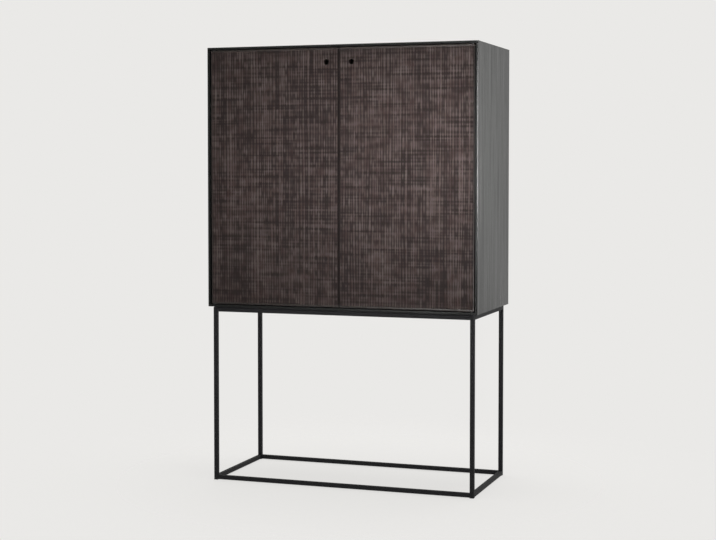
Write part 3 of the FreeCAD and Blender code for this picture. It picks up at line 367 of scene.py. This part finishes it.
def clamped(value):
    """The value, kept between 0 and 1."""
    return min(1, max(0, value))


def new_piece(name, mesh, *materials):
    """Makes an object of a bmesh, with its materials in the order of its faces' numbers."""
    data = bpy.data.meshes.new(name)
    mesh.to_mesh(data)
    for material in materials:
        data.materials.append(material)
    mesh.free()
    piece = bpy.data.objects.new(name, data)
    scene.collection.objects.link(piece)
    return piece


def door_blank(low, high, hinge_x):
    """A plain slab with its hinge edge rounded and its other edges eased, its edges numbered for the sealed
    finish with painted shade.
    """
    slab = bmesh.new()
    bmesh.ops.create_cube(slab, size=1, matrix=Matrix.LocRotScale((low + high) / 2, None, high - low))
    for y, rounding in ((low.y, HINGE_FRONT_ROUNDING), (high.y, HINGE_BACK_ROUNDING)):
        corner = [e for e in slab.edges
                  if all(abs(v.co.x - hinge_x) + abs(v.co.y - y) < TOUCHING for v in e.verts)]
        bmesh.ops.bevel(slab, geom=corner, offset=rounding, affect="EDGES", segments=ROUNDING_STEPS,
                        profile=0.5, material=-1)
    sharp = [e for e in slab.edges if e.calc_face_angle(0) > SHARP_EDGE]
    bmesh.ops.bevel(slab, geom=sharp, offset=ARRIS, affect="EDGES", segments=ARRIS_STEPS,
                    profile=0.5, material=-1)
    # Edges and ends take the near-black sealed finish, which is partly painted shade for the gaps round the
    # door.
    for f in slab.faces:
        f.normal_update()
        f.material_index = PLAIN if abs(f.normal.y) > FACING else SEALED_AND_SHADED
    return slab


def strokes(x, z, seed):
    """How far the upright and the level gouge have cut at a point of a door, and how hard they bore down.

    Each noise is read at its own distance from the seed, so that no two of them run alike.
    """
    column = x / UPRIGHT_WIDTH + UPRIGHT_STRAY * noise.noise(
        (x / UPRIGHT_STRAY_ACROSS, z / UPRIGHT_STRAY_UP, seed + 5))
    row = z / LEVEL_WIDTH + LEVEL_STRAY * noise.noise((x / LEVEL_STRAY_ACROSS, z / LEVEL_STRAY_UP, seed + 6))
    own_column, own_row = math.floor(column + 0.5) * APART, math.floor(row + 0.5) * APART
    ridge = (RIDGE + RIDGE_BY_STROKE * noise.noise((own_column, OFF_LATTICE, seed))
             + RIDGE_ALONG * noise.noise((own_column, z / UPRIGHT_LENGTH, seed + 4))
             + RIDGE_CHATTER * noise.noise((own_column, z / CHATTER_LENGTH, seed + 7)))
    level = LEVEL + LEVEL_VARIES * noise.noise((x / LEVEL_LENGTH, own_row, seed + 9))
    bearing = (noise.noise((x / LEVEL_BEARING_ACROSS, z / LEVEL_BEARING_UP, seed + 17))
               + noise.noise((x / UPRIGHT_BEARING_ACROSS, z / UPRIGHT_BEARING_UP, seed + 18)))
    upright_cut = 1 - abs(math.cos(math.pi * column)) ** RIDGE_POWER * clamped(ridge)
    level_cut = math.cos(math.pi * row) ** 2 * clamped(level)
    return upright_cut, level_cut, bearing


def carve(slab, front_y, hinge_x, meeting_x, seed):
    """Sinks the strokes into a blank's front, and writes on it how darkly the stain pools in them, with
    painted shade along the meeting edge.
    """
    stain_and_gap_shade = slab.verts.layers.float.new("stroke_tone_and_gap_shade")
    front = min(slab.faces, key=lambda f: f.calc_center_median().y)
    across = [e for e in front.edges if abs(e.verts[0].co.x - e.verts[1].co.x) > LONG_EDGE]
    bmesh.ops.subdivide_edges(slab, edges=across, cuts=CUTS_ACROSS)
    strips = [f for f in slab.faces if f.calc_center_median().y < front_y + TOUCHING]
    up = dict.fromkeys(e for f in strips for e in f.edges
                       if abs(e.verts[0].co.z - e.verts[1].co.z) > LONG_EDGE)
    bmesh.ops.subdivide_edges(slab, edges=list(up), cuts=CUTS_UP, use_grid_fill=True)
    face = [v for v in slab.verts if v.co.y < front_y + TOUCHING]
    left, right = min(v.co.x for v in face), max(v.co.x for v in face)
    foot, head = min(v.co.z for v in face), max(v.co.z for v in face)
    for v in face:
        x, z = v.co.x, v.co.z
        inset = min(x - left, right - x, abs(x - hinge_x) - HINGE_MARGIN,
                    z - foot - END_MARGIN, head - z - END_MARGIN)
        carved = clamped(inset / RUN_OUT)
        upright, level, bearing = strokes(x, z, seed)
        v[stain_and_gap_shade] = clamped(UPRIGHT_TONE * upright + LEVEL_TONE * level + BEARING_TONE * bearing)
        # Painted shade: the strip along the meeting edge is set to the darkest tone, as if shaded by the gap
        # between the doors.
        if abs(x - meeting_x) < MEETING_GAP_SHADE:
            v[stain_and_gap_shade] = 1
        v.co.y += carved * (UPRIGHT_DEPTH * upright + LEVEL_DEPTH * level)
        if carved > 0:
            for f in v.link_faces:
                f.material_index = CARVED


def turned(mesh, profile, origin, axis):
    """Spins a profile of (radius, height) points, closed at the axis, about an axis through origin."""
    side = axis.orthogonal().normalized()
    corners = [mesh.verts.new(origin + side * radius + axis * height) for radius, height in profile]
    edges = [mesh.edges.new(ends) for ends in zip(corners, corners[1:])]
    bmesh.ops.spin(mesh, geom=corners + edges, cent=origin, axis=axis, angle=2 * math.pi,
                   steps=TURNED_STEPS, use_merge=True)
    bmesh.ops.remove_doubles(mesh, verts=mesh.verts, dist=TOUCHING)
    bmesh.ops.recalc_face_normals(mesh, faces=mesh.faces)


def door_drills(node, low, high):
    """What is bored out of a door: a finger hole with eased rims, and a stepped seat for each bush."""
    drills = bmesh.new()
    hole = next(m for m in frame["record"]["mounts"] if m["name"] == node.replace("door", "finger_hole"))
    radius, eased = hole["dims"]["r_mm"] / 1000, FINGER_HOLE_EASING
    half = (high.y - low.y) / 2
    turned(drills, [(0, -half - eased), (radius + 2 * eased, -half - eased), (radius, -half + eased),
                    (radius, half - eased), (radius + 2 * eased, half + eased), (0, half + eased)],
           Vector(hole["pos_m"]), Vector((0, 1, 0)))
    bush_low, bush_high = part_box(node + "_pivot_bushes")
    pivot, flange = (bush_low + bush_high) / 2, (bush_high.x - bush_low.x) / 2 + SEAT_CLEARANCE
    for z, inward in ((low.z, 1), (high.z, -1)):
        turned(drills, [(0, -eased), (flange, -eased), (flange, BUSH_FLANGE), (BUSH_BARREL, BUSH_FLANGE),
                        (BUSH_BARREL, BUSH_LENGTH), (0, BUSH_LENGTH)],
               Vector((pivot.x, pivot.y, z)), Vector((0, 0, inward)))
    return drills


def carved_door(name, node, hinge_side, seed):
    """A door in place of a CAD node, carved and bored; hinge_side is -1 for the left one, 1 for the right."""
    low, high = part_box(node)
    hinge_x, meeting_x = (low.x, high.x) if hinge_side < 0 else (high.x, low.x)
    slab = door_blank(low, high, hinge_x)
    carve(slab, low.y, hinge_x, meeting_x, seed)
    # The bored faces take the near-black sealed finish, which is partly painted shade inside the finger hole
    # and the bush seats.
    cutter = new_piece(name + "_drills", door_drills(node, low, high), sealed_and_shaded_oak)
    door = new_piece(name, slab, plain_oak, carved_oak, sealed_and_shaded_oak)
    bored = door.modifiers.new("bored", "BOOLEAN")
    bored.operation, bored.solver, bored.object = "DIFFERENCE", "EXACT", cutter
    bored.material_mode = "TRANSFER"
    made = bpy.data.meshes.new_from_object(door.evaluated_get(bpy.context.evaluated_depsgraph_get()))
    door.modifiers.clear()
    door.data = made
    bpy.data.objects.remove(cutter)
    made.shade_smooth()
    made.set_sharp_from_angle(angle=SOFT_EDGE)
    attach(door, node)
    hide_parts(node)


# Gouged oak under umber stain: the stain pools near black in the strokes, a near-black painted shade of the
# gap runs along the doors' meeting edges, and the stain is rubbed back to a dusty mauve-brown on the ridges,
# in broken flecks, which are drawn coarser than the real 1 mm so that they show.
FLECK_WIDTH, FLECK_LENGTH, FIBRE_DEPTH = 3, 180, 0.2
WIPE = 30
carved_oak, tree, shader, place = new_material("gouged oak, umber stain")
fleck_run = add_node(tree, "ShaderNodeMapping", {
    "Vector": place, "Scale": [per_metre(FLECK_WIDTH), per_metre(FLECK_WIDTH), per_metre(FLECK_LENGTH)]})
flecks = add_node(tree, "ShaderNodeTexNoise", {
    "Vector": fleck_run.outputs[0], "Scale": 1, "Detail": 4, "Roughness": 0.65, "Distortion": 0.15})
wiping = add_node(tree, "ShaderNodeTexNoise", {"Vector": place, "Scale": per_metre(WIPE), "Detail": 1})
uneven = add_node(tree, "ShaderNodeMath", {0: flecks.outputs[0], 1: wiping.outputs[0]}, operation="ADD")
rubbed = add_node(tree, "ShaderNodeMapRange", {
    "Value": uneven.outputs[0], "From Min": 0.75, "From Max": 1.25})
ridge_tint = add_node(tree, "ShaderNodeMix", {
    "Factor": rubbed.outputs[0], FIRST_COLOUR: linear("#302422"), SECOND_COLOUR: linear("#4b423f")},
    data_type="RGBA")
# The stroke tone also carries the painted shade along the doors' meeting edges.
stroke_tone_and_gap_shade = add_node(tree, "ShaderNodeAttribute", {}, attribute_name="stroke_tone_and_gap_shade")
pooled_stain_and_gap_shade = add_node(tree, "ShaderNodeMapRange", {
    "Value": stroke_tone_and_gap_shade.outputs["Fac"], "From Min": 0.1, "From Max": 0.75}, interpolation_type="SMOOTHSTEP")
tint = add_node(tree, "ShaderNodeMix", {
    "Factor": pooled_stain_and_gap_shade.outputs[0], FIRST_COLOUR: ridge_tint.outputs[MIXED_COLOUR],
    SECOND_COLOUR: linear("#1e1716")}, data_type="RGBA")
sheen = add_node(tree, "ShaderNodeMapRange", {"Value": rubbed.outputs[0], "To Min": 0.58, "To Max": 0.48})
fibres = add_node(tree, "ShaderNodeBump", {
    "Height": flecks.outputs[0], "Distance": FIBRE_DEPTH / 1000, "Strength": 0.5})
tree.links.new(tint.outputs[MIXED_COLOUR], shader.inputs["Base Color"])
tree.links.new(sheen.outputs[0], shader.inputs["Roughness"])
tree.links.new(fibres.outputs[0], shader.inputs["Normal"])
shader.inputs["Specular IOR Level"].default_value = 0.1

# The same oak left plain, on the margins and the back: darker, close-grained and under more lacquer,
# so that it shines in a thin line round the carving where the light comes from the front.
plain_oak = stained_wood("plain oak, umber stain", 2, "#211d1b", "#302a27", "#17100f", dry=0.28, gloss=0.18)

# Cut edges and bored holes, sealed: the cut wood drinks the stain and turns dark and dull, and is painted
# further down to near black as painted shade, so that the gaps round the doors and the finger holes read as
# dark.
sealed_and_shaded_oak = stained_wood("sealed oak edges, painted shade", 2, "#0d0a09", "#15100f", "#090706", dry=0.75, gloss=0.05)

carved_door("carved_left_door", "left_door", hinge_side=-1, seed=3)
carved_door("carved_right_door", "right_door", hinge_side=1, seed=40)


# Floor. Pale seamless paper, rolled out under the cabinet and on up behind it: a disc of it takes the shadow,
# and fades out into a backdrop of its own colour.
PAPER, SHADED_PAPER = "#eae9e7", "#e8e7e5"
PAPER_KEPT, PAPER_GONE, PAPER_SIDES = 0.5, 1.5, 96
PAPER_GLOW = 0.8


def seen_by_eye(tree):
    """1 where a ray comes from the camera, also by way of a shiny or a clear surface, and otherwise 0."""
    ray = add_node(tree, "ShaderNodeLightPath", {})
    shiny = add_node(tree, "ShaderNodeMath", {
        0: ray.outputs["Is Camera Ray"], 1: ray.outputs["Is Glossy Ray"]}, operation="MAXIMUM")
    clear = add_node(tree, "ShaderNodeMath", {
        0: shiny.outputs[0], 1: ray.outputs["Is Transmission Ray"]}, operation="MAXIMUM")
    return clear.outputs[0]


sweep = bmesh.new()
bmesh.ops.create_circle(sweep, cap_ends=True, radius=PAPER_GONE, segments=PAPER_SIDES)
floor = new_piece("paper_floor", sweep)

# Uncoated paper, lit from all round: flat and pale, with a faint soft shadow; to the eye it glows by a share,
# so that it stays as pale as the backdrop and sheds no more light on the cabinet.
paper, tree, shader, place = new_material("pale seamless paper")
shader.inputs["Base Color"].default_value = linear(SHADED_PAPER)
shader.inputs["Roughness"].default_value = 0.9
shader.inputs["Specular IOR Level"].default_value = 0.1
glow = add_node(tree, "ShaderNodeMath", {0: seen_by_eye(tree), 1: PAPER_GLOW}, operation="MULTIPLY")
lit_paper = add_node(tree, "ShaderNodeEmission", {"Color": linear(PAPER)})
surface = add_node(tree, "ShaderNodeMixShader", {
    0: glow.outputs[0], 1: shader.outputs[0], 2: lit_paper.outputs[0]})
away = add_node(tree, "ShaderNodeVectorMath", {0: place}, operation="LENGTH")
fade = add_node(tree, "ShaderNodeMapRange", {
    "Value": away.outputs["Value"], "From Min": PAPER_KEPT, "From Max": PAPER_GONE},
    interpolation_type="SMOOTHSTEP")
gone = add_node(tree, "ShaderNodeBsdfTransparent", {})
faded = add_node(tree, "ShaderNodeMixShader", {0: fade.outputs[0], 1: surface.outputs[0], 2: gone.outputs[0]})
tree.links.new(faded.outputs[0], tree.nodes["Material Output"].inputs["Surface"])
floor.data.materials.append(paper)


# Room. The studio round the paper: the eye sees a backdrop of the paper's colour everywhere, and the cabinet
# is lit by a room that is dim in front of it and bright behind, where the paper goes up.
ROOM_DIM, ROOM_BRIGHT = 0.2, 1.2
DIM_TOWARDS, BRIGHT_TOWARDS = -0.5, 0.6

world = bpy.data.worlds.new("studio")
world.use_nodes = True
scene.world = world
tree = world.node_tree
backdrop = tree.nodes["Background"]
backdrop.inputs["Color"].default_value = linear(PAPER)
direction = add_node(tree, "ShaderNodeTexCoord", {})
towards = add_node(tree, "ShaderNodeSeparateXYZ", {"Vector": direction.outputs["Generated"]})
room = add_node(tree, "ShaderNodeMapRange", {
    "Value": towards.outputs["Y"], "From Min": DIM_TOWARDS, "From Max": BRIGHT_TOWARDS,
    "To Min": ROOM_DIM, "To Max": ROOM_BRIGHT})
strength = add_node(tree, "ShaderNodeMix", {"Factor": seen_by_eye(tree), "A": room.outputs[0], "B": 1})
tree.links.new(strength.outputs[0], backdrop.inputs["Strength"])


# Lamps. Softboxes, most of them behind grids that narrow their light, hidden from the camera. The key lights
# the doors from the front right, the edge lamp rakes over them and draws the line on the right arris, and the
# others fill in. The low ones in front stay below the level of the cabinet's top, so as not to glare on it.
def softbox(name, place, aim, width, height, watts, spread):
    """A rectangular lamp, turned from its place to a point; spread is the angle of its light, in degrees."""
    lamp = bpy.data.lights.new(name, "AREA")
    lamp.shape, lamp.size, lamp.size_y = "RECTANGLE", width, height
    lamp.energy, lamp.spread = watts, math.radians(spread)
    stand = bpy.data.objects.new(name, lamp)
    stand.location = place
    stand.visible_camera = False
    stand.rotation_euler = (Vector(aim) - Vector(place)).to_track_quat("-Z", "Y").to_euler()
    scene.collection.objects.link(stand)


softbox("key", (2.6, -2.6, 1.0), aim=(0.25, -0.2, 1.1), width=1.0, height=1.0, watts=6.0, spread=34)
softbox("edge", (2.3, -0.85, 1.22), aim=(0.5, -0.22, 1.22), width=0.5, height=0.6, watts=3.2, spread=20)
softbox("front", (-0.4, -4.2, 0.9), aim=(0.3, 0, 1.12), width=0.8, height=1.2, watts=3.3, spread=36)
softbox("overhead", (0, -2.2, 3.7), aim=(0, 0, 0.9), width=2.4, height=1.6, watts=5, spread=150)
softbox("rim", (2.2, 3.4, 1.2), aim=(0.5, 0, 1.1), width=1.8, height=2.0, watts=8, spread=180)
softbox("top", (0, 0.3, 4), aim=(0, 0.3, 0), width=2.4, height=2.4, watts=50, spread=120)
